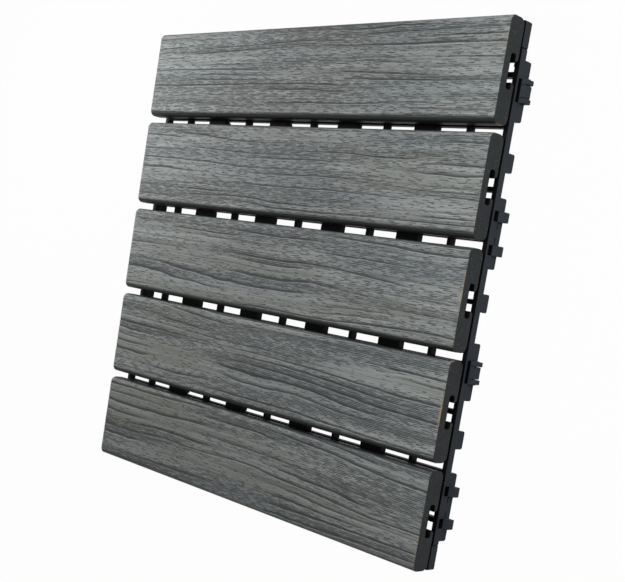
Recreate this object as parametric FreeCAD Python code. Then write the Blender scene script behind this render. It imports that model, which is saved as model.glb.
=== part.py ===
import FreeCAD, Part
import math
import os

# Interlocking deck tile: five composite boards screwed down on one moulded grid.
# X runs along the boards, Y across them, and Z up from the ground under the feet.
# The origin is on the ground below the middle of the tile. Lengths are in millimetres.

Vector = FreeCAD.Vector

# Boards
board_count = 5
board_width = 55.6
board_gap = 4.4
board_thickness = 12.2
board_edge_radius = 3.8

# T-shaped slot along the middle of each board's underside
slot_mouth_width = 10.5
slot_width = 17.7
slot_height = 3.5
slot_lip_thickness = 2.9
slot_corner_bevel = 0.6
slot_mouth_bevel = 1.0

# Heights of the grid's three storeys
foot_height = 5.5
lattice_height = 4.5
seat_height = 1.8

# Lattice of the grid
rail_wall = 3.0
rail_corner_radius = 1.2
rib_wall = 2.0
centre_rib_wall = 2.8
bar_pitch = 30.4
narrow_bar_width = 2.5
wide_bar_width = 16.0
channel_wall = 2.0
channel_web = 2.0

# Seats that lift the boards clear of the lattice
seat_width = 12.0

# Feet inside the grid
box_foot_width = 14.0
box_foot_wall = 2.0
peg_foot_width = 5.0

# Feet along the rail, at distances from the middle of each side
plain_foot_width = 10.0
clip_foot_width = 31.5
socket_foot_width = 38.0
foot_pitch = 37.5
foot_corner_bevel = 0.8
foot_return_wall = 2.0
foot_return_length = 4.0
foot_return_inset = 1.0

# Clip: a stiff tongue between two arms
clip_width = 12.4
clip_tongue_reach = 2.9
clip_arm_reach = 3.7
clip_arm_width = 2.6
clip_slit = 0.3
clip_edge_bevel = 0.3

# Socket: two blocks that take a neighbour's clip between them
socket_clearance = 0.1
socket_block_width = 5.5
socket_block_reach = 3.5
socket_block_height = 4.8
socket_edge_bevel = 0.3

# Short grooves in the wall between the blocks, one beside each block
socket_groove_middle = 4.0
socket_groove_length = 4.0
socket_groove_height = 1.2
socket_groove_depth = 0.8

# Pockets in the rail's face above the clips and the blocks, under a bar along the rail's top
pocket_depth = 2.2
pocket_bar_height = 1.6

# Snap: a ridge on each arm and a groove in each block
snap_height = 3.2
snap_ridge_depth = 0.4
snap_ridge_width = 1.2
snap_play = 0.1

# Corner panels of the rail
corner_panel_length = 14.0
corner_groove_width = 0.7
corner_groove_depth = 0.35
corner_lip_height = 0.6

# Pan-head screws
screw_diameter = 3.5
screw_length = 12.0
screw_head_diameter = 6.8
screw_crown_diameter = 4.6
screw_head_height = 2.4
screw_head_rim = 1.2
screw_hole_clearance = 0.35
screw_end_clearance = 0.5

# Places worked out from the sizes above
board_pitch = board_width + board_gap
tile_size = board_count * board_pitch - board_gap
half_tile = tile_size / 2
rail_inside = half_tile - rail_wall
lattice_top = foot_height + lattice_height
web_bottom = lattice_top - channel_web
board_bottom = lattice_top + seat_height
board_top = board_bottom + board_thickness
slot_bottom = board_bottom + slot_lip_thickness
slot_top = slot_bottom + slot_height
flank_offset = (board_width + slot_width) / 4
bars_each_side = int((rail_inside - wide_bar_width / 2) // bar_pitch)
wide_bar_places = [step * bar_pitch for step in range(-bars_each_side, bars_each_side + 1) if step % 2]
narrow_bar_places = [step * bar_pitch for step in range(-bars_each_side, bars_each_side + 1) if step % 2 == 0]
board_centres = [(board_count - 1) / 2 * board_pitch - step * board_pitch for step in range(board_count)]
gap_centres = [centre - board_pitch / 2 for centre in board_centres[:-1]]
screw_places = [
    (bar, centre + side * flank_offset)
    for bar in (wide_bar_places[0], wide_bar_places[-1])
    for centre in board_centres
    for side in (-1, 1)
]

# A cutting shape runs this far past the face that it opens.
overrun = 1.0

# Twenty screws and their holes stay light with this many flats around each.
small_round_flats = 10


def rectangle(low_u, high_u, low_v, high_v, size=0.0):
    """Corners of a rectangle, each with the size that rounds or bevels it."""
    places = ((low_u, low_v), (high_u, low_v), (high_u, high_v), (low_u, high_v))
    return [(u, v, size) for u, v in places]


def outline(corners):
    """Closed wire through corners (u, v, size).

    A positive size rounds the corner with a tangent arc of that radius. A negative one bevels
    it: a straight cut that starts that far from the corner on both sides.
    """
    points = [Vector(u, v, 0) for u, v, _ in corners]
    stretches = []
    for index, (_, _, size) in enumerate(corners):
        corner = points[index]
        back = (points[index - 1] - corner).normalize()
        ahead = (points[(index + 1) % len(points)] - corner).normalize()
        half_angle = back.getAngle(ahead) / 2
        reach = max(size / math.tan(half_angle), -size)
        inward = (back + ahead).normalize()
        middle = corner + inward * (size / math.sin(half_angle) - size)
        stretches.append((corner + back * reach, middle, corner + ahead * reach, size))
    edges = []
    for index, (start, middle, end, size) in enumerate(stretches):
        if size > 0:
            edges.append(Part.Arc(start, middle, end).toShape())
        if size < 0:
            edges.append(Part.makeLine(start, end))
        following = stretches[(index + 1) % len(stretches)][0]
        edges.append(Part.makeLine(end, following))
    return Part.Wire(edges)


def upright(corners, low, high):
    """Plan outline in X and Y, raised from one height to another."""
    face = Part.Face(outline(corners))
    face.translate(Vector(0, 0, low))
    return face.extrude(Vector(0, 0, high - low))


def lengthwise(corners, start, end):
    """Cross-section in Y and Z, carried along X."""
    face = Part.Face(outline(corners))
    turn = FreeCAD.Rotation(Vector(1, 1, 1), 120)
    face.Placement = FreeCAD.Placement(Vector(start, 0, 0), turn)
    return face.extrude(Vector(end - start, 0, 0))


def post(x, y, low, high, diameter, top_diameter=None):
    """Small round post or hole at (x, y), drawn with flats, tapered if its top differs."""
    angles = [2 * math.pi * step / small_round_flats for step in range(small_round_flats + 1)]
    rings = [
        [Vector(x + width / 2 * math.cos(angle), y + width / 2 * math.sin(angle), height) for angle in angles]
        for height, width in ((low, diameter), (high, top_diameter or diameter))
    ]
    faces = [Part.Face(Part.makePolygon(ring)) for ring in rings]
    for below, above in zip(zip(rings[0], rings[0][1:]), zip(rings[1], rings[1][1:])):
        faces.append(Part.Face(Part.makePolygon([below[0], below[1], above[1], above[0], below[0]])))
    shell = Part.makeShell(faces)
    shell.sewShape()
    return Part.makeSolid(shell)


def pad(x, y, width_x, width_y, low, high):
    """Rectangular pad or pocket standing at (x, y)."""
    low_x, high_x = span_about(x, width_x)
    low_y, high_y = span_about(y, width_y)
    return upright(rectangle(low_x, high_x, low_y, high_y), low, high)


def ridge_along_x(y, z, depth, width, start, end):
    """Three-sided ridge or groove along X that stands out of the plane at y, towards the sign of depth."""
    corners = [(y, z - width / 2, 0.0), (y + depth, z, 0.0), (y, z + width / 2, 0.0)]
    return lengthwise(corners, start, end)


def on_four_sides(shape):
    """Quarter-turn copies of what is made on the +X side."""
    copies = []
    for quarter in range(4):
        copy = shape.copy()
        copy.rotate(Vector(0, 0, 0), Vector(0, 0, 1), quarter * 90)
        copies.append(copy)
    return copies


def open_spans(solid_spans):
    """Open stretches that are left between solid ones along a line."""
    ordered = sorted(solid_spans)
    spans = []
    reached = ordered[0][1]
    for low, high in ordered[1:]:
        if low > reached:
            spans.append((reached, low))
        reached = max(reached, high)
    return spans


def span_about(centre, width):
    """Stretch of a given width about a centre."""
    return (centre - width / 2, centre + width / 2)


# Boards
def board_section(centre):
    """Rounded board with the T-shaped slot let into its underside, seen from its end."""
    side = board_width / 2
    slot_side = slot_width / 2
    mouth_side = slot_mouth_width / 2
    right = [
        (mouth_side, board_bottom, -slot_mouth_bevel),
        (side, board_bottom, board_edge_radius),
        (side, board_top, board_edge_radius),
    ]
    left = [(-u, v, size) for u, v, size in reversed(right)]
    slot_left = [
        (-mouth_side, slot_bottom, 0.0),
        (-slot_side, slot_bottom, -slot_corner_bevel),
        (-slot_side, slot_top, -slot_corner_bevel),
    ]
    slot_right = [(-u, v, size) for u, v, size in reversed(slot_left)]
    corners = right + left + slot_left + slot_right
    return [(centre + u, v, size) for u, v, size in corners]


def make_board(centre):
    """One co-extruded board, cut square at its ends, with its screws' holes."""
    board = lengthwise(board_section(centre), -half_tile, half_tile)
    hole_top = web_bottom + screw_length + screw_end_clearance
    holes = [
        post(x, y, board_bottom - overrun, hole_top, screw_diameter)
        for x, y in screw_places
        if abs(y - centre) < board_width / 2
    ]
    return board.cut(holes)


# Screws
def make_screw(x, y):
    """Pan-head screw, driven from below through the web into a board."""
    rim_low = web_bottom - screw_head_rim
    crown = web_bottom - screw_head_height
    shank = post(x, y, rim_low, web_bottom + screw_length, screw_diameter)
    rim = post(x, y, rim_low, web_bottom, screw_head_diameter)
    dome = post(x, y, crown, rim_low, screw_crown_diameter, screw_head_diameter)
    return shank.fuse([rim, dome]).removeSplitter()


# Grid: lattice of rails, ribs and bars
def make_lattice():
    """Square frame filled with ribs along X and bars along Y; wide bars are channels, open below."""
    rails = [(-half_tile, -rail_inside), (rail_inside, half_tile)]
    rib_spans = list(rails)
    for centre in board_centres:
        low, high = span_about(centre, board_width)
        rib_spans.append((low, low + rib_wall))
        rib_spans.append(span_about(centre, centre_rib_wall))
        rib_spans.append((high - rib_wall, high))
    bar_spans = list(rails)
    bar_spans += [span_about(place, narrow_bar_width) for place in narrow_bar_places]
    bar_spans += [span_about(place, wide_bar_width) for place in wide_bar_places]
    bays = open_spans(rib_spans)

    frame = outline(rectangle(-half_tile, half_tile, -half_tile, half_tile, rail_corner_radius))
    cells = [
        outline(rectangle(low_x, high_x, low_y, high_y))
        for low_x, high_x in open_spans(bar_spans)
        for low_y, high_y in bays
    ]
    plan = Part.makeFace([frame] + cells, "Part::FaceMakerBullseye")
    plan.translate(Vector(0, 0, foot_height))
    lattice = plan.extrude(Vector(0, 0, lattice_height))

    channels = []
    for place in wide_bar_places:
        low_x, high_x = span_about(place, wide_bar_width - 2 * channel_wall)
        for low_y, high_y in bays:
            pocket = rectangle(low_x, high_x, low_y, high_y)
            channels.append(upright(pocket, foot_height - overrun, web_bottom))
    return lattice.cut(channels)


def make_seats():
    """Raised pads below both flanks of every board, on the wide bars and the last narrow bars."""
    seats = []
    for centre in board_centres:
        for side in (-1, 1):
            y = centre + side * flank_offset
            for x in wide_bar_places:
                seats.append(pad(x, y, seat_width, seat_width, web_bottom, board_bottom))
            for x in (narrow_bar_places[0], narrow_bar_places[-1]):
                seats.append(pad(x, y, narrow_bar_width, seat_width, foot_height, board_bottom))
    return seats


def make_inner_feet():
    """Box feet under each board's middle and pegs under each gap, all on the wide bars."""
    feet = []
    inside = box_foot_width - 2 * box_foot_wall
    for x in wide_bar_places:
        for y in board_centres:
            box = pad(x, y, box_foot_width, box_foot_width, 0, web_bottom)
            hollow = pad(x, y, inside, inside, -overrun, foot_height)
            feet.append(box.cut(hollow))
        for y in gap_centres:
            feet.append(pad(x, y, peg_foot_width, peg_foot_width, 0, web_bottom))
    return feet


# Grid: feet, clips and sockets of the +X side
def rail_foot(centre, width, has_returns):
    """Flat foot that hangs from the rail, with short returns behind a wide one."""
    low, high = span_about(centre, width)
    face = [
        (low, 0, -foot_corner_bevel),
        (high, 0, -foot_corner_bevel),
        (high, lattice_top, 0.0),
        (low, lattice_top, 0.0),
    ]
    pieces = [lengthwise(face, rail_inside, half_tile)]
    if has_returns:
        back = rail_inside - foot_return_length
        for start in (low + foot_return_inset, high - foot_return_inset - foot_return_wall):
            plan = rectangle(back, rail_inside + overrun, start, start + foot_return_wall)
            pieces.append(upright(plan, 0, foot_height))
    return pieces


def make_clip(centre):
    """Tongue and two arms that stand out of a clip foot, with a snap ridge on each arm."""
    side = clip_width / 2
    tongue_side = side - clip_arm_width - clip_slit
    tongue = [
        (rail_inside, centre - tongue_side, 0.0),
        (half_tile + clip_tongue_reach, centre - tongue_side, -clip_edge_bevel),
        (half_tile + clip_tongue_reach, centre + tongue_side, -clip_edge_bevel),
        (rail_inside, centre + tongue_side, 0.0),
    ]
    pieces = [upright(tongue, 0, foot_height)]
    end = half_tile + clip_arm_reach
    for hand in (-1, 1):
        outer = centre + hand * side
        low, high = sorted((outer, outer - hand * clip_arm_width))
        arm = [
            (rail_inside, low, 0.0),
            (end, low, -clip_edge_bevel),
            (end, high, -clip_edge_bevel),
            (rail_inside, high, 0.0),
        ]
        pieces.append(upright(arm, 0, foot_height))
        ridge_end = end - clip_edge_bevel
        ridge = (outer, snap_height, hand * snap_ridge_depth, snap_ridge_width)
        pieces.append(ridge_along_x(*ridge, half_tile, ridge_end))
    return pieces


def make_socket(centre):
    """Two blocks that stand out of a socket foot, each with a snap groove on its inner side."""
    mouth_side = clip_width / 2 + socket_clearance
    end = half_tile + socket_block_reach
    pieces = []
    for hand in (-1, 1):
        inner = centre + hand * mouth_side
        low, high = sorted((inner, inner + hand * socket_block_width))
        block = [
            (rail_inside, low, 0.0),
            (end, low, -socket_edge_bevel),
            (end, high, -socket_edge_bevel),
            (rail_inside, high, 0.0),
        ]
        groove = ridge_along_x(
            inner,
            snap_height,
            hand * (snap_ridge_depth + snap_play),
            snap_ridge_width + 2 * snap_play,
            half_tile,
            end + overrun,
        )
        pieces.append(upright(block, 0, socket_block_height).cut(groove))
    return pieces


def rail_pocket(centre, width, bottom):
    """Pocket in the rail's face that starts at the top of a clip or a block."""
    low, high = span_about(centre, width)
    plan = rectangle(half_tile - pocket_depth, half_tile + overrun, low, high)
    return upright(plan, bottom, lattice_top - pocket_bar_height)


def socket_grooves(centre, mouth_side):
    """Short grooves in the wall at both ends of a socket's mouth."""
    low, high = span_about(socket_groove_middle, socket_groove_height)
    grooves = []
    for start in (centre - mouth_side, centre + mouth_side - socket_groove_length):
        section = rectangle(start, start + socket_groove_length, low, high)
        grooves.append(lengthwise(section, half_tile - socket_groove_depth, half_tile + overrun))
    return grooves


def side_fittings():
    """What one side of the grid gains and loses: clips and sockets take turns along it."""
    added = []
    removed = []
    mouth_side = clip_width / 2 + socket_clearance
    for step in (-2, 0, 2):
        added += rail_foot(step * foot_pitch, plain_foot_width, False)
    for step in (-1, 3):
        centre = step * foot_pitch
        added += rail_foot(centre, clip_foot_width, True)
        added += make_clip(centre)
        removed.append(rail_pocket(centre, clip_width, foot_height))
    for step in (-3, 1):
        centre = step * foot_pitch
        added += rail_foot(centre, socket_foot_width, True)
        added += make_socket(centre)
        for hand in (-1, 1):
            block_centre = centre + hand * (mouth_side + socket_block_width / 2)
            removed.append(rail_pocket(block_centre, socket_block_width, socket_block_height))
        removed += socket_grooves(centre, mouth_side)
    for hand in (-1, 1):
        low, high = span_about(hand * (half_tile - corner_panel_length), corner_groove_width)
        groove = rectangle(low, high, foot_height - overrun, lattice_top + overrun)
        removed.append(lengthwise(groove, half_tile - corner_groove_depth, half_tile + overrun))
    return added, removed


def make_corner_lips():
    """Low lips that top the rail's corner panels."""
    top = lattice_top + corner_lip_height
    square = rectangle(-half_tile, half_tile, -half_tile, half_tile, rail_corner_radius)
    inside = rectangle(-rail_inside, rail_inside, -rail_inside, rail_inside)
    ring = upright(square, foot_height, top).cut(upright(inside, foot_height - overrun, top + overrun))
    clear = half_tile - corner_panel_length + corner_groove_width / 2
    far = half_tile + overrun
    across = upright(rectangle(-far, far, -clear, clear), foot_height - overrun, top + overrun)
    along = upright(rectangle(-clear, clear, -far, far), foot_height - overrun, top + overrun)
    return ring.cut([across, along]).Solids


def make_grid():
    """The whole moulded base in one piece."""
    added, removed = side_fittings()
    gains = [copy for shape in added for copy in on_four_sides(shape)]
    losses = [copy for shape in removed for copy in on_four_sides(shape)]
    hole_diameter = screw_diameter + 2 * screw_hole_clearance
    losses += [
        post(x, y, web_bottom - overrun, board_bottom + overrun, hole_diameter)
        for x, y in screw_places
    ]
    grid = make_lattice().fuse(make_seats() + make_inner_feet() + make_corner_lips() + gains)
    grid = grid.cut(losses)
    return grid.removeSplitter()


def save(shape, name):
    """Write one piece as a STEP file and say what it is."""
    shape.exportStep("parts/" + name + ".step")
    print(name, "solids", len(shape.Solids), "volume %.0f" % shape.Volume, "valid", shape.isValid())


os.makedirs("parts", exist_ok=True)
for number, centre in enumerate(board_centres, start=1):
    save(make_board(centre), "board_%d" % number)
save(make_grid(), "base_grid")
save(Part.makeCompound([make_screw(x, y) for x, y in screw_places]), "board_screws")
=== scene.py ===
# %% [markdown]
# # An interlocking deck tile
# The real tile is five grained composite boards, screwed from below to one black moulded grid.
# The grid comes in from CAD and keeps its form. The boards are made again here, because what a person sees
# first is the embossed wood grain, and a CAD solid has none. So are the screws, for their thread and recess.
# This cell loads the CAD frame and measures it, so that every later piece takes its place from the frame and
# not from a guess.

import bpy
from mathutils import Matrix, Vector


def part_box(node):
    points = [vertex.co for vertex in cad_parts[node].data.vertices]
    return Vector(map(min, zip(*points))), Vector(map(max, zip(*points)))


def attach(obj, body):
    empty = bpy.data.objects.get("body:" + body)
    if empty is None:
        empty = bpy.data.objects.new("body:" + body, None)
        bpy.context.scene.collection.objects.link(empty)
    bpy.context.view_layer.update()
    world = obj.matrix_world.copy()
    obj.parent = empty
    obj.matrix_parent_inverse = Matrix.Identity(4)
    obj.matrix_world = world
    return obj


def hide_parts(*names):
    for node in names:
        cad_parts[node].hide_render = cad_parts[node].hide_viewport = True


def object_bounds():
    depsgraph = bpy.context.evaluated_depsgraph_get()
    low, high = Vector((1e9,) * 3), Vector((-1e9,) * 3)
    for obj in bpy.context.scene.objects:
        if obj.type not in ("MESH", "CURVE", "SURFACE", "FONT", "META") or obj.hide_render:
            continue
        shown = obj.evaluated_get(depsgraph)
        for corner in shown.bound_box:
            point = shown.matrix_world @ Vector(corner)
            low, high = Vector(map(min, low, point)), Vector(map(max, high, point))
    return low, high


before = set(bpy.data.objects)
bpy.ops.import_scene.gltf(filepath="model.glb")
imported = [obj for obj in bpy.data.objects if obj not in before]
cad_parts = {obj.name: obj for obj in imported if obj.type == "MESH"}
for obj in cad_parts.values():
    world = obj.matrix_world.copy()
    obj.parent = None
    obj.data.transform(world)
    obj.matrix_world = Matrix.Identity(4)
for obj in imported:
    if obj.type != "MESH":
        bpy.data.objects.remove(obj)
cad_bounds = [list(corner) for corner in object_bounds()]

import math

import bpy
import numpy as np
from mathutils import Matrix

MM = 0.001
board_names = sorted(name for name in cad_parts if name.startswith("board_") and name[6:].isdigit())
board_boxes = {name: tuple(np.array(corner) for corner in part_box(name)) for name in board_names}
print("boards", board_names)
print("CAD box in metres", cad_bounds)

# %% [markdown]
# ## Where the camera stands
# The photo was taken with the camera turned almost a quarter turn on its side, above the end of the boards.
# A camera could be pointed with a constraint, but a fitted view is easier to read as four plain numbers:
# a turn about the vertical, a tilt away from straight down, a roll about the line of sight, and the lens.
# The middle of the view lies below the middle of the picture, and the lens shift carries that.

# %% Camera at the photo's viewing angle
picture_width = 625
picture_height = 582
focal_length_px = 1133.55
view_centre_y_px = 404.89
sensor_width_mm = 36.0
nearest_seen = 0.01
camera_place = (0.51519, -0.00471, 0.49954)
camera_turn = math.radians(98.577)
camera_tilt = math.radians(44.470)
camera_roll = math.radians(-86.693)

camera_data = bpy.data.cameras.new("camera")
camera_data.sensor_width = sensor_width_mm
camera_data.lens = focal_length_px * sensor_width_mm / picture_width
camera_data.shift_y = (view_centre_y_px - picture_height / 2) / picture_width
camera_data.clip_start = nearest_seen
camera = bpy.data.objects.new("camera", camera_data)
bpy.context.collection.objects.link(camera)
camera.matrix_world = (
    Matrix.Translation(camera_place)
    @ Matrix.Rotation(camera_turn, 4, "Z")
    @ Matrix.Rotation(camera_tilt, 4, "X")
    @ Matrix.Rotation(camera_roll, 4, "Z")
)
bpy.context.scene.camera = camera
print("lens %.2f mm, shift %.4f" % (camera_data.lens, camera_data.shift_y))

# %% [markdown]
# ## Writing shader maths as sums
# A node tree is a long sum that Blender makes the artist wire by hand. The small class below wraps one
# output of a node, so that `1 - mask * 0.5` adds the two Math nodes by itself. Every other node comes from
# one method, which takes the node's type, its settings and what goes into its sockets.

# %% Wrap a node's output so that it adds up like a number
class Signal:
    """One output of a node in a material, usable in sums with numbers and other signals."""

    def __init__(self, tree, output):
        self.tree = tree
        self.output = output

    def node(self, kind, settings=None, inputs=None, output=0):
        """Add a node: its settings first, then each input as a value or another signal."""
        made = self.tree.nodes.new(kind)
        for name, value in (settings or {}).items():
            setattr(made, name, value)
        for name, value in (inputs or {}).items():
            if isinstance(value, Signal):
                self.tree.links.new(value.output, made.inputs[name])
            else:
                made.inputs[name].default_value = value
        return Signal(self.tree, made.outputs[output]) if len(made.outputs) else None

    def math(self, operation, first, second=0.0, clamp=False):
        """One Math node on two numbers or signals."""
        settings = {"operation": operation, "use_clamp": clamp}
        return self.node("ShaderNodeMath", settings, {0: first, 1: second})

    def __add__(self, other):
        return self.math("ADD", self, other)

    def __sub__(self, other):
        return self.math("SUBTRACT", self, other)

    def __rsub__(self, other):
        return self.math("SUBTRACT", other, self)

    def __mul__(self, other):
        return self.math("MULTIPLY", self, other)

    __radd__ = __add__
    __rmul__ = __mul__

    def clamped(self):
        """This signal, kept between 0 and 1."""
        return self.math("ADD", self, 0.0, clamp=True)

    def floor(self):
        """This signal, rounded down."""
        return self.math("FLOOR", self)

    def size(self):
        """This signal without its sign."""
        return self.math("ABSOLUTE", self)

    def step(self, low, high):
        """0 below low, 1 above high, and a smooth rise between."""
        settings = {"interpolation_type": "SMOOTHSTEP"}
        return self.node("ShaderNodeMapRange", settings, {0: self, 1: low, 2: high, 3: 0.0, 4: 1.0})

    def mix(self, first, second):
        """Colour that goes from first to second as this signal goes from 0 to 1."""
        settings = {"data_type": "RGBA", "clamp_factor": True}
        return self.node("ShaderNodeMix", settings, {0: self, 6: first, 7: second}, output=2)


def new_material(name):
    """An empty node material, and a signal that nodes can be added through."""
    material = bpy.data.materials.new(name)
    material.use_nodes = True
    material.node_tree.nodes.clear()
    return material, Signal(material.node_tree, None)


def finish_surface(start, inputs):
    """Put a Principled shader with these inputs on the material's output."""
    shader = start.node("ShaderNodeBsdfPrincipled", inputs=inputs)
    start.node("ShaderNodeOutputMaterial", inputs={"Surface": shader})


def bump(start, height, strength, distance):
    """Normal of a surface that stands up by distance, in metres, where height is 1."""
    inputs = {"Strength": strength, "Distance": distance, "Height": height}
    return start.node("ShaderNodeBump", inputs=inputs)


# A noise that changes alike all ways, and the detail and roughness of the finest noises
unstretched = (1.0, 1.0, 1.0)
fine_detail, fine_roughness = 3.0, 0.65


def noise(start, place, stretch, scale, detail=2.0, roughness=0.5):
    """Noise of mean 0.5 on coordinates that are first multiplied by stretch."""
    stretched = start.node("ShaderNodeVectorMath", {"operation": "MULTIPLY"}, {0: place, 1: stretch})
    inputs = {"Vector": stretched, "Scale": scale, "Detail": detail, "Roughness": roughness}
    return start.node("ShaderNodeTexNoise", inputs=inputs)


# %% [markdown]
# ## Floor, backdrop and light
# The tile is shown on white. Turning the lamps up until a floor burns out would bleach the boards too, so
# the floor and the world look white only to the camera and to reflections, and light the tile at a plain
# level. The floor keeps a share of ordinary paint, which lets the tile's shadow show.

# %% Pale floor that reads as white
floor_half_width = 3.0
floor_corner_signs = ((-1, -1), (1, -1), (1, 1), (-1, 1))
floor_grey = (0.30, 0.30, 0.30, 1.0)
white = (1.0, 1.0, 1.0, 1.0)
floor_shadow_share = 0.02


def seen_directly(start):
    """1 for rays from the camera, a mirror-like surface or a clear one, else 0."""
    rays = [start.node("ShaderNodeLightPath", output=name) for name in
            ("Is Camera Ray", "Is Glossy Ray", "Is Transmission Ray")]
    return (rays[0] + rays[1] + rays[2]).clamped()


floor_material, start = new_material("floor_paint")
paint = start.node("ShaderNodeBsdfDiffuse", inputs={"Color": floor_grey})
glow = start.node("ShaderNodeEmission", inputs={"Color": white, "Strength": 1.0})
share = seen_directly(start) * (1.0 - floor_shadow_share)
shader = start.node("ShaderNodeMixShader", inputs={0: share, 1: paint, 2: glow})
start.node("ShaderNodeOutputMaterial", inputs={"Surface": shader})

floor_z = cad_bounds[0][2]
floor_mesh = bpy.data.meshes.new("floor")
corners = [(x * floor_half_width, y * floor_half_width, floor_z) for x, y in floor_corner_signs]
floor_mesh.from_pydata(corners, [], [(0, 1, 2, 3)])
floor_mesh.materials.append(floor_material)
floor = bpy.data.objects.new("floor", floor_mesh)
bpy.context.collection.objects.link(floor)
print("floor at z", floor_z)

# %% World and lamps
ambient_colour = (1.0, 0.985, 0.95, 1.0)
ambient_strength = 0.125
lamp_colour = (0.93, 0.98, 1.02)

# Lamps: place, point aimed at and width in metres, and power in watts
lamps = {
    "lamp_far_end": ((-0.31, 0.163, 0.207), (-0.07, 0.045, 0.0), 0.16, 1.11),
    "lamp_near_end": ((0.335, 0.173, 0.344), (0.45, 0.0, 0.0), 0.20, 2.1),
}

world = bpy.data.worlds.new("studio")
world.use_nodes = True
world.node_tree.nodes.clear()
start = Signal(world.node_tree, None)
ambient = start.node("ShaderNodeBackground", inputs={"Color": ambient_colour, "Strength": ambient_strength})
backdrop = start.node("ShaderNodeBackground", inputs={"Color": white, "Strength": 1.0})
sky = start.node("ShaderNodeMixShader", inputs={0: seen_directly(start), 1: ambient, 2: backdrop})
start.node("ShaderNodeOutputWorld", inputs={"Surface": sky})
bpy.context.scene.world = world


def soft_lamp(name, place, aim, width, power):
    """Square soft lamp that stands at place and is turned to aim."""
    data = bpy.data.lights.new(name, "AREA")
    data.size = width
    data.energy = power
    data.color = lamp_colour
    lamp = bpy.data.objects.new(name, data)
    bpy.context.collection.objects.link(lamp)
    back = np.array(place) - np.array(aim)
    back = back / np.linalg.norm(back)
    turn = math.atan2(back[1], back[0]) + math.pi / 2
    tilt = math.acos(back[2])
    upright = Matrix.Translation(place) @ Matrix.Rotation(turn, 4, "Z")
    lamp.matrix_world = upright @ Matrix.Rotation(tilt, 4, "X")


for name, values in lamps.items():
    soft_lamp(name, *values)
bpy.context.scene.view_settings.view_transform = "Standard"

# %% [markdown]
# ## Wood grain as fields of numbers
# The skin of a composite board is embossed by a roller: long growth lines, short pores between them, and
# bands where the print is lighter or darker. A photograph could be pasted on, or noise nodes could paint it,
# but then the surface would stay flat. Here the grain is a set of fields over the board's length and its
# unrolled width, all in millimetres. The same fields press the mesh in and colour it, so that a growth line
# is always a groove too. Pores and fibres are finer than the mesh, so they are left to noise nodes, which
# follow the same fields.

# %% Smooth random field
fade_power = (6.0, -15.0, 10.0)
table_shape = (61, 257)


def smooth_noise(x, y, cell_x, cell_y, seed):
    """Random field between -1 and 1, the same for the same seed.

    Formula: a random height stands on each corner of a lattice of cells, cell_x by cell_y. Inside a cell
    the height is the mean of its four corners, weighted by 6t^5 - 15t^4 + 10t^3 of the place in the cell.
    """
    heights = np.random.default_rng(seed).uniform(-1.0, 1.0, table_shape)
    u = x / cell_x
    v = y / cell_y
    i = np.floor(u).astype(int)
    j = np.floor(v).astype(int)
    s, t = (w ** 3 * (fade_power[0] * w ** 2 + fade_power[1] * w + fade_power[2]) for w in (u - i, v - j))
    i0, i1 = i % table_shape[0], (i + 1) % table_shape[0]
    j0, j1 = j % table_shape[1], (j + 1) % table_shape[1]
    low = heights[i0, j0] * (1 - s) + heights[i1, j0] * s
    high = heights[i0, j1] * (1 - s) + heights[i1, j1] * s
    return low * (1 - t) + high * t


def smooth_step(value, low, high):
    """0 below low, 1 above high, and 3t^2 - 2t^3 between them."""
    t = np.clip((value - low) / (high - low), 0.0, 1.0)
    return t * t * (3 - 2 * t)


sample_x = np.linspace(0.0, 2.0, 5)
print("a field over two cells", smooth_noise(sample_x, np.zeros(5), 1.0, 1.0, seed=1).round(2))

# %% Growth lines and bends of one board
line_fade = 0.42
line_onset = 0.05
lane_bend = 0.3
board_shift = 137.0
seed_step = 1000

# Bends of the grain: height, cell along the board and cell across it, in mm. The growth lines bend once more
bends = [(2.8, 150.0, 25.0), (1.1, 42.0, 10.0), (0.25, 12.0, 4.0)]
phase_bend, phase_cell_x, phase_cell_y = 3.2, 170.0, 21.0

# Cells of the other fields, along the board and across it, in mm; across is in lines for the first
presence_cell = (70.0, 1.0)
crowding_cell = (110.0, 5.5)
tint_cell = (90.0, 11.0)


def grain_fields(x, y, seed, line_pitch, line_share):
    """Grain at length x and unrolled width y, in millimetres; line_share says how much of it the lines take.

    Formula: across is y bent by three smooth fields, long, middling and short. phase is across, bent once
    more, over the line pitch, and a growth line starts wherever phase passes a whole number: dark at once,
    then fading. present says where a line shows at all, and crowding where the pores gather. Pores and fibres
    run straighter than the growth lines, so their own field, lane, takes only a share of the bend.
    """
    bend = sum(
        height * smooth_noise(x, y, cell_x, cell_y, seed + order)
        for order, (height, cell_x, cell_y) in enumerate(bends)
    )
    across = y + bend
    phase = (across + phase_bend * smooth_noise(x, y, phase_cell_x, phase_cell_y, seed + 3)) / line_pitch
    presence = smooth_noise(x, phase, *presence_cell, seed + 4)
    present = smooth_step(presence, -line_share, 1.0 - line_share)
    past_line = phase - np.floor(phase)
    fade = 1 - smooth_step(past_line, 0.0, line_fade) + smooth_step(past_line, 1 - line_onset, 1.0)
    shift = seed / seed_step * board_shift
    return {
        "across": across + shift,
        "lane": y + lane_bend * bend + shift,
        "phase": phase,
        "present": present,
        "lines": present * np.clip(fade, 0, 1),
        "crowding": smooth_noise(x, across, *crowding_cell, seed + 5),
        "tint": smooth_noise(x, across, *tint_cell, seed + 6),
    }


sample_grain = grain_fields(np.zeros(1), np.zeros(1), seed_step, line_pitch=4.0, line_share=0.5)
print("grain at one point", {name: round(float(field[0]), 2) for name, field in sample_grain.items()})

# %% [markdown]
# ## A board
# A board is extruded: one section, the same all along, with rounded edges above and below and a T-shaped slot
# in the underside. So its surface has two parameters, the place around the section and the place along the
# board. The section is sampled finely where the grain is and coarsely where it is plain.

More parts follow.
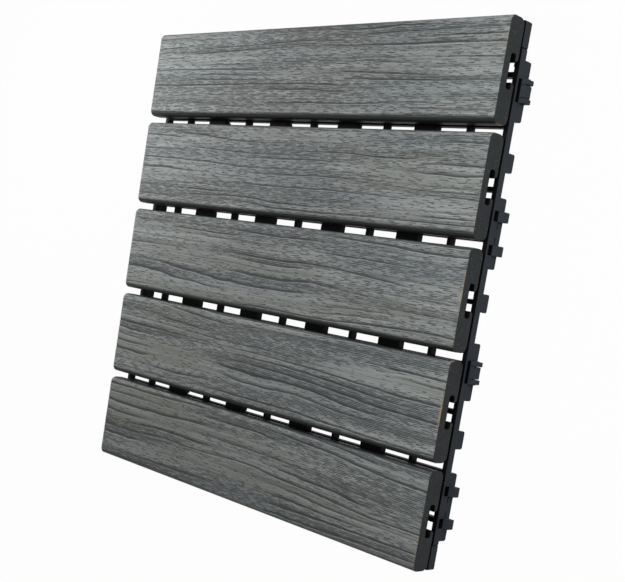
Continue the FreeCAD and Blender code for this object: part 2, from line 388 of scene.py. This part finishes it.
# %% Section of a board
edge_radius = 3.8
slot_mouth = 10.5
slot_width = 17.7
slot_height = 3.5
slot_lip = 2.9
slot_bevel = 0.6
mouth_bevel = 1.0
grain_spacing = 0.26
arc_spacing = 0.33
plain_spacing = 3.0
low_arc_spacing = 3 * arc_spacing
side_spacing = plain_spacing / 2


def straight(start_point, end_point, spacing):
    """Points from start to end, the end left out, evenly spaced."""
    start_point, end_point = np.array(start_point), np.array(end_point)
    count = max(1, round(np.linalg.norm(end_point - start_point) / spacing))
    share = np.arange(count)[:, None] / count
    return start_point + (end_point - start_point) * share


def rounded(centre, radius, start_angle, spacing):
    """Quarter circle turning left from start_angle, its last point left out."""
    count = max(1, round(radius * math.pi / 2 / spacing))
    angle = math.radians(start_angle) + np.arange(count) / count * math.pi / 2
    return np.array(centre) + radius * np.stack([np.cos(angle), np.sin(angle)], axis=1)


def board_outline(low, high):
    """Closed section in (y, z) between two corners, in millimetres, turning left as seen from +X."""
    middle = (low[0] + high[0]) / 2
    r = edge_radius
    arcs = {
        "top_right": rounded((high[0] - r, high[1] - r), r, 0, arc_spacing),
        "top_left": rounded((low[0] + r, high[1] - r), r, 90, arc_spacing),
        "low_left": rounded((low[0] + r, low[1] + r), r, 180, low_arc_spacing),
        "low_right": rounded((high[0] - r, low[1] + r), r, 270, low_arc_spacing),
    }
    mouth, wide, bevel = slot_mouth / 2, slot_width / 2, slot_bevel
    lip_top = low[1] + slot_lip
    slot_top = lip_top + slot_height
    slot_left = [
        (-mouth - mouth_bevel, low[1]),
        (-mouth, low[1] + mouth_bevel),
        (-mouth, lip_top),
        (-wide + bevel, lip_top),
        (-wide, lip_top + bevel),
        (-wide, slot_top - bevel),
        (-wide + bevel, slot_top),
    ]
    slot = slot_left + [(-u, v) for u, v in reversed(slot_left)]
    slot = [(middle + u, v) for u, v in slot]
    stretches = [
        arcs["top_right"],
        straight((high[0] - r, high[1]), (low[0] + r, high[1]), grain_spacing),
        arcs["top_left"],
        straight((low[0], high[1] - r), (low[0], low[1] + r), side_spacing),
        arcs["low_left"],
        straight((low[0] + r, low[1]), slot[0], plain_spacing),
    ]
    stretches += [straight(a, b, plain_spacing) for a, b in zip(slot, slot[1:])]
    stretches += [
        straight(slot[-1], (high[0] - r, low[1]), plain_spacing),
        arcs["low_right"],
        straight((high[0], low[1] + r), (high[0], high[1] - r), side_spacing),
    ]
    return np.concatenate(stretches)


sample_low, sample_high = board_boxes[board_names[0]]
sample_outline = board_outline(sample_low[1:] / MM, sample_high[1:] / MM)
print("section points", len(sample_outline))

# %% A closed mesh from rings of points
def mesh_from_rings(name, rings, values, strip_material, cap_material):
    """Closed mesh from rings of points, shape (rings, points, 3), in metres.

    Each ring is joined to the next by four-sided faces, and the first and last rings are closed by one face
    each. values holds one number for each point of each ring, by attribute name. strip_material gives the
    material number of each lengthwise strip of faces, between a point of the ring and the next.
    """
    ring_count, point_count, _ = rings.shape
    index = np.arange(ring_count * point_count).reshape(ring_count, point_count)
    here, ahead = index[:-1], index[1:]
    quads = np.stack([here, np.roll(here, -1, 1), np.roll(ahead, -1, 1), ahead], axis=-1).reshape(-1, 4)
    loops = np.concatenate([quads.ravel(), index[0, ::-1], index[-1]])
    sizes = np.concatenate([np.full(len(quads), 4), [point_count, point_count]])
    starts = np.concatenate([[0], np.cumsum(sizes)[:-1]])

    mesh = bpy.data.meshes.new(name)
    mesh.vertices.add(index.size)
    mesh.vertices.foreach_set("co", rings.reshape(-1).astype(np.float32))
    mesh.loops.add(len(loops))
    mesh.loops.foreach_set("vertex_index", loops.astype(np.int32))
    mesh.polygons.add(len(sizes))
    mesh.polygons.foreach_set("loop_start", starts.astype(np.int32))
    material = np.concatenate([np.tile(strip_material, ring_count - 1), [cap_material, cap_material]])
    mesh.polygons.foreach_set("material_index", material.astype(np.int32))
    mesh.polygons.foreach_set("use_smooth", material != cap_material)
    mesh.update(calc_edges=True)
    for label, numbers in values.items():
        layer = mesh.attributes.new(label, "FLOAT", "POINT")
        layer.data.foreach_set("value", numbers.reshape(-1).astype(np.float32))
    mesh.validate()
    return mesh


# %% [markdown]
# ## What differs from board to board
# No two boards in the photo look alike. So each has a seed, a pitch and a share of growth lines, a tone and a
# spread of pores of its own. Those numbers, and how far the pale print reaches round each rounded edge before
# the black of the sides begins, are fitted to how the photo shows each board. That reach also carries painted
# light and shade: the print reaches further round the edges towards +Y and the fifth board's edge towards -Y
# as painted light, and ends sooner on the other edges towards -Y as painted shade. On the sawn edges a tan
# burr is left in places.

# %% Numbers of each board, from the first board to the fifth
line_pitches = [3.3, 3.3, 3.7, 4.4, 5.2]
line_shares = [0.27, 0.27, 0.30, 0.34, 0.68]
board_tones = [0.035, 0.05, 0.05, 0.12, 0.04]

# How unevenly the pores gather on each board, as a share of the field, and how many more it has all over
pore_unevenness = [0.45, 0.55, 0.8, 1.0, 1.0]
pore_surplus = [0.12, 0.10, 0.0, 0.0, 0.0]

# How far up the surface faces, in degrees, where the pale print begins and where it is whole: on the edge
# towards -Y for each board, and on the edge towards +Y for all. Straight up is 90. The edges differ as
# painted
# light and shade: the print reaches further round the +Y edges and the fifth board's -Y edge as painted
# light, and ends sooner on the other -Y edges as painted shade
low_edge_print_and_light = [(58.0, 92.0)] * 4 + [(12.0, 45.0)]
high_edge_print_and_light = (18.0, 50.0)

# Tan burr on each board's sawn edge: (middle, half width, strength), along the unrolled section in mm
burr_marks = [
    [(-32.0, 3.0, 0.9), (14.0, 8.0, 0.3)],
    [(30.0, 6.5, 0.9), (-20.0, 6.0, 0.4)],
    [(29.0, 5.0, 0.6), (6.0, 12.0, 0.4)],
    [(0.0, 10.0, 1.0), (30.0, 4.0, 0.7)],
    [(30.0, 6.0, 1.0), (-14.0, 10.0, 0.4)],
]
print("line pitches", line_pitches)

# %% Shape of a board, pressed with its grain
skin_number, end_number, slot_number = 0, 1, 2
row_spacing = 1.25
line_depth = 0.16
end_arris = 0.15
burr_width = 0.45
burr_core_share = 0.6
slot_margin = 0.1
level_rise = 89.9
top_facing = 0.9


def outward(outline):
    """Unit normals of a closed outline that turns left: its tangent turned a quarter turn right."""
    tangent = np.roll(outline, -1, 0) - np.roll(outline, 1, 0)
    normal = np.stack([tangent[:, 1], -tangent[:, 0]], axis=1)
    return normal / np.linalg.norm(normal, axis=1, keepdims=True)


def unrolled(outline, normal, middle):
    """Distance along the section from the middle of the top, signed, growing with y."""
    step = np.linalg.norm(np.roll(outline, -1, 0) - outline, axis=1)
    travelled = np.concatenate([[0], np.cumsum(step)[:-1]])
    off_middle = np.where(normal[:, 1] > top_facing, np.abs(outline[:, 0] - middle), np.inf)
    return travelled[np.argmin(off_middle)] - travelled


def board_mesh(name, low, high, number):
    """Board between two corners in millimetres, with the grain, tone, burr and reach of the pale print round
    its edges, painted light and shade included, that its number gives.

    Formula: point (ring, place) is the section's point at that place, carried to the ring's x and moved
    inwards along the section's normal by the grain's depth there. Two rings stand in the plane of each cut:
    the first drawn in by the burr's width, the second by the arris. The burr runs on to the first row.
    """
    outline = board_outline(low[1:], high[1:])
    normal = outward(outline)
    middle = (low[1] + high[1]) / 2
    y = unrolled(outline, normal, middle)
    rise = np.degrees(np.arcsin(np.clip(normal[:, 1], -1, 1)))
    # The pale print's reach differs between the two edges as painted light and painted shade
    low_edge, high_edge = smooth_step(rise, *low_edge_print_and_light[number]), smooth_step(rise, *high_edge_print_and_light)
    skin = np.where(outline[:, 0] < middle, low_edge, high_edge)
    skin[rise > level_rise] = 1.0

    first, last = low[0] + end_arris, high[0] - end_arris
    rows = np.linspace(first, last, round((last - first) / row_spacing) + 1)
    ring_x = np.concatenate([[low[0]] * 2, rows, [high[0]] * 2])
    inset = np.zeros(len(ring_x))
    inset[[0, -1]] = burr_width
    inset[[1, -2]] = end_arris
    is_edge = np.zeros(len(ring_x))
    is_edge[[1, 2, -3, -2]] = 1.0
    burr = np.zeros(len(y))
    for place, half_width, strength in burr_marks[number]:
        burr += strength * (1 - smooth_step(np.abs(y - place), burr_core_share * half_width, half_width))

    x_grid, y_grid = np.meshgrid(ring_x, y, indexing="ij")
    seed = seed_step * (number + 1)
    grain = grain_fields(x_grid, y_grid, seed, line_pitches[number], line_shares[number])
    inward = line_depth * skin * grain.pop("lines") + inset[:, None]
    rings = np.empty(x_grid.shape + (3,))
    rings[..., 0] = x_grid
    rings[..., 1] = outline[:, 0] - normal[:, 0] * inward
    rings[..., 2] = outline[:, 1] - normal[:, 1] * inward
    grain["skin"] = np.broadcast_to(skin, x_grid.shape)
    grain["crowding"] = grain["crowding"] * pore_unevenness[number] + pore_surplus[number]
    grain["paleness"] = np.full(x_grid.shape, board_tones[number])
    grain["burr"] = is_edge[:, None] * burr[None, :]

    slot_top = low[2] + slot_lip + slot_height
    below_slot_top = outline[:, 1] < slot_top + slot_margin
    in_slot = (np.abs(outline[:, 0] - middle) < slot_width / 2 + slot_margin) & below_slot_top
    strip_material = np.where(in_slot & np.roll(in_slot, -1), slot_number, skin_number)
    return mesh_from_rings(name, rings * MM, grain, strip_material, end_number)


# %% [markdown]
# ## Finish of the boards
# The skin is a weathered grey print over a nearly black plastic. Its colour could come from one noise, but
# the real print has several layers, so each layer is one term: tone, tint, pale flecks, pores, growth lines,
# and a fibre finer than the mesh. A painted highlight runs along the lit edge before each growth line. The
# cut ends show the charcoal core with a few pale chips.
# The inside of the slot is painted nearly black, because hardly any light comes back out of it in the photo.

# %% Dashes along the grain
lane_stride = 57.31
dash_half_width = 0.30
dash_blur = 0.12


def attribute(start, name):
    """A number that the mesh holds at each of its points."""
    return start.node("ShaderNodeAttribute", {"attribute_name": name}, output="Fac")


def dashes(along, lane, pitch, length, level, gain):
    """Thin pointed marks in lanes along the grain, 1 on a mark and 0 beside it.

    Formula: a lane's number is lane over pitch, rounded down. A noise runs along each lane, and where it
    passes level a mark opens: as wide as gain times the excess, up to an even width, and pointed at its ends.
    """
    place = lane * (1 / pitch)
    number = place.floor()
    stretch = along * (1 / length) + number * lane_stride
    inputs = {"W": stretch, "Scale": 1.0, "Detail": 1.0}
    run = along.node("ShaderNodeTexNoise", {"noise_dimensions": "1D"}, inputs)
    half_width = along.math("MINIMUM", (run - level) * gain, dash_half_width)
    off_middle = (place - number - 0.5).size()
    return (half_width - off_middle).step(0.0, dash_blur)


# %% Grained skin
light_grey = (0.330, 0.336, 0.316, 1.0)
dark_grey = (0.087, 0.087, 0.082, 1.0)
cool_grey = (0.187, 0.203, 0.210, 1.0)
warm_grey = (0.205, 0.207, 0.178, 1.0)
line_grey = (0.034, 0.034, 0.035, 1.0)
pore_grey = (0.058, 0.057, 0.054, 1.0)
# Pale grey of the flecks, and of the painted highlight on the lit edge before each growth line
fleck_and_highlight_grey = (0.330, 0.340, 0.340, 1.0)
side_black = (0.010, 0.010, 0.011, 1.0)
side_streak = (0.026, 0.026, 0.028, 1.0)
tan = (0.40, 0.27, 0.15, 1.0)

# Noises on the grain: how often they change, per mm, along the board and across it
fibre_rate = (0.014, 1.0, 1.0)
band_rate = (0.006, 0.20, 1.0)
mottle_rate = (0.10, 0.9, 1.0)

# Tone from dark grey at 0 to light grey at 1: its mean, and how far each layer sways it
mean_tone = 0.57
fibre_sway, band_sway, mottle_sway, crowding_sway = 2.9, 1.5, 0.4, 0.16

# Tint from warm below 0 to cool above it: the weight of each layer, and of the tint as a whole
tint_weight, crowding_weight, band_weight, tint_strength = 0.7, 0.8, 1.5, 0.7

# Marks along the grain: shift of their lanes, lane pitch and length in mm, the level where they open, how
# much crowding lowers it, the gain, and the strength and colour of their paint
mark_kinds = {
    "fleck": (0.5, 1.05, 6.0, 0.57, 0.0, 3.0, 0.45, fleck_and_highlight_grey),
    "fine_pore": (0.3, 0.66, 6.0, 0.54, 0.16, 4.0, 0.6, pore_grey),
    "pore": (0.0, 0.95, 9.0, 0.51, 0.18, 4.0, 0.9, pore_grey),
}

# Growth lines, by place between one line and the next: where the painted highlight on the lit edge before a
# line comes and goes
lit_edge_start, lit_edge_end = (0.80, 0.88), (0.90, 0.97)
lit_edge_strength = 0.5
line_strength = 0.9

# Black sides and tan burr: rates of their noises per metre, and the levels between which they set in
side_streak_rate, side_streak_levels = (6.0, 500.0, 900.0), (0.45, 0.75)
burr_patch_scale, burr_patch_levels = 180.0, (0.38, 0.52)

# Relief: the weight of each layer in the bump, and the bump's strength and depth in metres
pore_groove, fine_pore_groove, fibre_relief = 0.6, 0.3, 0.3
skin_bump_strength, skin_bump_depth = 0.5, 0.0002
skin_roughness, side_gloss, groove_roughness = 0.60, 0.14, 0.12
skin_specular = 0.15


def skin_material():
    """Printed grey skin with the grain from the mesh's attributes, and black plastic where the print ends
    round the edges, sooner or later by side as painted shade and painted light, with a painted highlight on
    the lit edge before each growth line.
    """
    material, start = new_material("grained_board_skin")
    place = start.node("ShaderNodeTexCoord", output="Object")
    along = start.node("ShaderNodeSeparateXYZ", inputs={"Vector": place}, output="X") * (1 / MM)
    lane = attribute(start, "lane")
    grown = start.node("ShaderNodeCombineXYZ", inputs={"X": along, "Y": attribute(start, "across")})
    flat = start.node("ShaderNodeCombineXYZ", inputs={"X": along, "Y": lane})
    fibre = noise(start, flat, fibre_rate, 1.0, fine_detail, fine_roughness)
    band = noise(start, grown, band_rate, 1.0)
    mottle = noise(start, flat, mottle_rate, 1.0)
    crowding = attribute(start, "crowding")
    tone = (fibre - 0.5) * fibre_sway + (band - 0.5) * band_sway + (mottle - 0.5) * mottle_sway
    tone = tone - crowding * crowding_sway + mean_tone + attribute(start, "paleness")
    colour = tone.clamped().mix(dark_grey, light_grey)
    tint = attribute(start, "tint") * tint_weight + crowding * crowding_weight + (band - 0.5) * band_weight
    colour = (tint * tint_strength).clamped().mix(colour, cool_grey)
    colour = (tint * -tint_strength).clamped().mix(colour, warm_grey)

    mask = {}
    for kind, (shift, pitch, length, level, crowded, gain, strength, paint) in mark_kinds.items():
        mask[kind] = dashes(along, lane + shift, pitch, length, level - crowding * crowded, gain)
        colour = (mask[kind] * strength).mix(colour, paint)
    phase = attribute(start, "phase")
    past_line = phase - phase.floor()
    present = attribute(start, "present")
    line = 1 - past_line.step(0.0, line_fade) + past_line.step(1 - line_onset, 1.0)
    line = line.clamped() * present
    # Painted highlight along the lit edge before each growth line
    lit_edge = (past_line.step(*lit_edge_start) - past_line.step(*lit_edge_end)) * present
    colour = (lit_edge * lit_edge_strength).mix(colour, fleck_and_highlight_grey)
    colour = (line * line_strength).mix(colour, line_grey)

    skin = attribute(start, "skin")
    streak = noise(start, place, side_streak_rate, 1.0).step(*side_streak_levels)
    colour = skin.mix(streak.mix(side_black, side_streak), colour)
    burr_patch = noise(start, place, unstretched, burr_patch_scale).step(*burr_patch_levels)
    colour = (attribute(start, "burr") * burr_patch).mix(colour, tan)
    grooves = (line + mask["pore"] * pore_groove + mask["fine_pore"] * fine_pore_groove).clamped()
    height = fibre * fibre_relief - grooves
    finish_surface(start, {
        "Base Color": colour,
        "Roughness": skin_roughness - (1 - skin) * side_gloss + grooves * groove_roughness,
        "Normal": bump(start, height, skin_bump_strength, skin_bump_depth),
        "Specular IOR Level": skin_specular,
    })
    return material


skin_finish = skin_material()
print("skin nodes", len(skin_finish.node_tree.nodes))

# %% Cut ends
core_dark = (0.0125, 0.014, 0.015, 1.0)
core_light = (0.030, 0.034, 0.0365, 1.0)
core_chip = (0.170, 0.165, 0.150, 1.0)
core_speck_scale, core_cloud_scale, core_chip_scale = 1800.0, 320.0, 1100.0
saw_rate = (1.0, 300.0, 4200.0)
core_speck_sway, core_cloud_sway, core_mean_tone = 0.9, 1.2, -0.55
chip_levels, chip_strength = (0.68, 0.73), 0.6
speck_relief, saw_relief = 0.6, 0.4
core_bump_strength, core_bump_depth = 0.4, 0.00012
core_roughness, core_roughness_sway = 0.62, 0.2
core_specular = 0.2


def core_material():
    """Sawn charcoal core with specks, soft clouds, a few pale chips and fine saw marks."""
    material, start = new_material("sawn_board_end")
    place = start.node("ShaderNodeTexCoord", output="Object")
    speck = noise(start, place, unstretched, core_speck_scale, fine_detail, fine_roughness)
    cloud = noise(start, place, unstretched, core_cloud_scale, fine_detail)
    saw = noise(start, place, saw_rate, 1.0, detail=1.0)
    tone = speck * core_speck_sway + cloud * core_cloud_sway + core_mean_tone
    colour = tone.clamped().mix(core_dark, core_light)
    chip = noise(start, place, unstretched, core_chip_scale, detail=1.0).step(*chip_levels)
    colour = (chip * chip_strength).mix(colour, core_chip)
    height = speck * speck_relief + saw * saw_relief
    finish_surface(start, {
        "Base Color": colour,
        "Roughness": core_roughness + (speck - 0.5) * core_roughness_sway,
        "Normal": bump(start, height, core_bump_strength, core_bump_depth),
        "Specular IOR Level": core_specular,
    })
    return material


core_finish = core_material()
print("core nodes", len(core_finish.node_tree.nodes))

# %% Inside of the slot
# The slot's colours are painted shade: nearly black, with faint streaks along the slot
slot_shade_black = (0.002, 0.002, 0.002, 1.0)
slot_shade_grey = (0.006, 0.006, 0.006, 1.0)
slot_streak_rate = (6.0, 900.0, 900.0)
slot_roughness, slot_roughness_sway = 0.7, 0.2
slot_specular = 0.02


def slot_material():
    """Nearly black painted shade with faint streaks along the slot."""
    material, start = new_material("board_slot")
    place = start.node("ShaderNodeTexCoord", output="Object")
    streak = noise(start, place, slot_streak_rate, 1.0)
    finish_surface(start, {
        "Base Color": streak.mix(slot_shade_black, slot_shade_grey),
        "Roughness": slot_roughness + streak * slot_roughness_sway,
        "Specular IOR Level": slot_specular,
    })
    return material


slot_finish = slot_material()
print("slot nodes", len(slot_finish.node_tree.nodes))

# %% Make the five boards
for number, name in enumerate(board_names):
    low, high = board_boxes[name]
    mesh = board_mesh("grained_" + name, low / MM, high / MM, number)
    for finish in (skin_finish, core_finish, slot_finish):
        mesh.materials.append(finish)
    board = bpy.data.objects.new("grained_" + name, mesh)
    bpy.context.collection.objects.link(board)
    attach(board, "root")
    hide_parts(name)
    print(board.name, "faces", len(mesh.polygons))

# %% [markdown]
# ## The moulded grid
# The grid keeps its CAD form: rails, ribs, feet, clips and sockets. Moulded polypropylene is never one flat
# black. It has a satin skin from the tool, with a fine spark-eroded grain and slow changes of gloss, so the
# finish is made of those two. Inside the lattice and in the pockets above the sockets it is darkened with
# painted shade, by place, because the photo shows hardly any light coming back out of them.

# %% Satin black plastic
plastic_dark = (0.032, 0.036, 0.043, 1.0)
plastic_light = (0.048, 0.054, 0.064, 1.0)
# Nearly black painted shade inside the lattice and in the pockets
plastic_painted_shade = (0.002, 0.002, 0.0025, 1.0)
plastic_grain_scale, plastic_cloud_scale = 2400.0, 60.0
plastic_bump_strength, plastic_bump_depth = 0.25, 0.00005
plastic_roughness, plastic_roughness_sway = 0.48, 0.16
plastic_specular = 0.08

# Where the painted shade lies, in metres: behind the rail's face and from shade_low up, and lower in the
# pockets
rail_face = 0.1477
pocket_back = 0.1455
pocket_drop = 0.0028
shade_low, shade_high = 0.0056, 0.0075
paint_edge = 0.0001


def plastic_material():
    """Satin black plastic, with nearly black painted shade inside the lattice and in the pockets."""
    material, start = new_material("satin_black_plastic")
    place = start.node("ShaderNodeTexCoord", output="Object")
    grain = noise(start, place, unstretched, plastic_grain_scale)
    cloud = noise(start, place, unstretched, plastic_cloud_scale)
    x, y, z = [start.node("ShaderNodeSeparateXYZ", inputs={"Vector": place}, output=axis) for axis in "XYZ"]
    reach = start.math("MAXIMUM", x.size(), y.size())
    outside = reach.step(rail_face, rail_face + paint_edge)
    in_pocket = reach.step(pocket_back - paint_edge, pocket_back)
    shade = (1 - outside) * (z + in_pocket * pocket_drop).step(shade_low, shade_high)
    finish_surface(start, {
        "Base Color": shade.mix(cloud.mix(plastic_dark, plastic_light), plastic_painted_shade),
        "Roughness": plastic_roughness + cloud * plastic_roughness_sway,
        "Normal": bump(start, grain, plastic_bump_strength, plastic_bump_depth),
        "Specular IOR Level": plastic_specular,
    })
    return material


plastic_finish = plastic_material()
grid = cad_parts["base_grid"]
grid.data.materials.clear()
grid.data.materials.append(plastic_finish)
print("grid material", [slot.material.name for slot in grid.material_slots])

# %% [markdown]
# ## The screws
# Each board is held by four pan-head screws, driven up through the grid. A screw is turned: one profile that
# goes once round an axis. So its surface has two parameters, the place along the profile and the angle. The
# thread and the cross recess are depths taken off that surface by formula.

# %% Shape of a screw
screw_angles = 24
head_radius = 3.4
crown_radius = 2.3
shank_radius = 1.75
head_low, head_rim, head_top, screw_tip = 5.6, 6.8, 8.0, 20.0
tip_length = 3.0
thread_pitch = 1.4
thread_depth = 0.42
recess_depth = 1.1
recess_arm = 1.75
recess_half_width = 0.42
crown_rings, shank_rings = 10, 44
crown_slope_width, crown_slope_height = 0.25, 0.15
rim_width, rim_height = 0.2, 0.15
head_arris = 0.05
least_radius = 0.02
least_tip_share = 0.02
shank_start = 0.3
board_width = (sample_high[1] - sample_low[1]) / MM
flank_offset = (board_width + slot_width) / 4


def screw_rings():
    """Rings of one screw about the Z axis, from the middle of the head's crown to the tip, in millimetres.

    Formula: radius and height follow the profile. On the crown the height rises by the recess depth inside
    two crossed bars. On the shank the radius falls by the thread depth times how far the place lies from the
    nearest turn of a helix, and shrinks to a point over the tip.
    """
    angle = np.arange(screw_angles) / screw_angles * 2 * math.pi
    crown = [(r, head_low) for r in np.linspace(least_radius, crown_radius - crown_slope_width, crown_rings)]
    head = [
        (crown_radius, head_low + crown_slope_height),
        (head_radius - rim_width, head_rim - rim_height),
        (head_radius, head_rim),
        (head_radius, head_top - head_arris),
        (head_radius - head_arris, head_top),
        (shank_radius, head_top),
    ]
    shank = [(shank_radius, z) for z in np.linspace(head_top + shank_start, screw_tip, shank_rings)]
    profile = np.array(crown + head + shank)
    radius, height = (np.repeat(column[:, None], screw_angles, 1) for column in profile.T)
    x, y = radius * np.cos(angle), radius * np.sin(angle)
    in_bar = [(np.abs(a) < recess_half_width) & (np.abs(b) < recess_arm) for a, b in ((x, y), (y, x))]
    recess = (in_bar[0] | in_bar[1]) & (height == head_low)
    on_shank = height > head_top
    turn = (height / thread_pitch - angle / (2 * math.pi)) % 1.0
    thread = np.where(on_shank, thread_depth * (1 - np.abs(2 * turn - 1)), 0.0)
    tip = np.where(on_shank, np.clip((screw_tip - height) / tip_length, least_tip_share, 1.0), 1.0)
    radius = (radius - thread) * tip
    height = height + recess_depth * recess
    return np.stack([radius * np.cos(angle), radius * np.sin(angle), height], axis=-1)


one_screw = screw_rings()
print("rings and angles of a screw", one_screw.shape[:2])

# %% Stainless steel
steel_colour = (0.60, 0.60, 0.58, 1.0)
steel_cloud_scale = 700.0
steel_roughness, steel_roughness_sway = 0.28, 0.2


def steel_material():
    """Plain steel whose gloss changes a little from place to place."""
    material, start = new_material("plain_stainless_steel")
    place = start.node("ShaderNodeTexCoord", output="Object")
    cloud = noise(start, place, unstretched, steel_cloud_scale)
    roughness = steel_roughness + cloud * steel_roughness_sway
    finish_surface(start, {"Base Color": steel_colour, "Metallic": 1.0, "Roughness": roughness})
    return material


steel_finish = steel_material()
print("steel nodes", len(steel_finish.node_tree.nodes))

# %% Place the twenty screws
low, high = (np.array(corner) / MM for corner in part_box("board_screws"))
screw_x = (low[0] + head_radius, high[0] - head_radius)
board_middles = [(board_boxes[name][0][1] + board_boxes[name][1][1]) / 2 / MM for name in board_names]
screw_y = [middle + side * flank_offset for middle in board_middles for side in (-1, 1)]
screw_places = [(x, y) for x in screw_x for y in screw_y]
screws_mesh = bpy.data.meshes.new("pan_head_screws")
points = []
faces = []
ring_total = len(one_screw)
for x, y in screw_places:
    first = len(points)
    points += [tuple(p) for p in (one_screw + (x, y, 0.0)).reshape(-1, 3) * MM]
    index = first + np.arange(ring_total * screw_angles).reshape(ring_total, screw_angles)
    here, ahead = index[:-1], index[1:]
    sides = np.stack([here, np.roll(here, -1, 1), np.roll(ahead, -1, 1), ahead], axis=-1).reshape(-1, 4)
    faces += [tuple(int(i) for i in face) for face in sides]
    faces += [tuple(int(i) for i in index[0, ::-1]), tuple(int(i) for i in index[-1])]
screws_mesh.from_pydata(points, [], faces)
screws_mesh.materials.append(steel_finish)
screws = bpy.data.objects.new("pan_head_screws", screws_mesh)
bpy.context.collection.objects.link(screws)
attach(screws, "root")
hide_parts("board_screws")
print("screws", len(screw_places), "faces", len(faces))
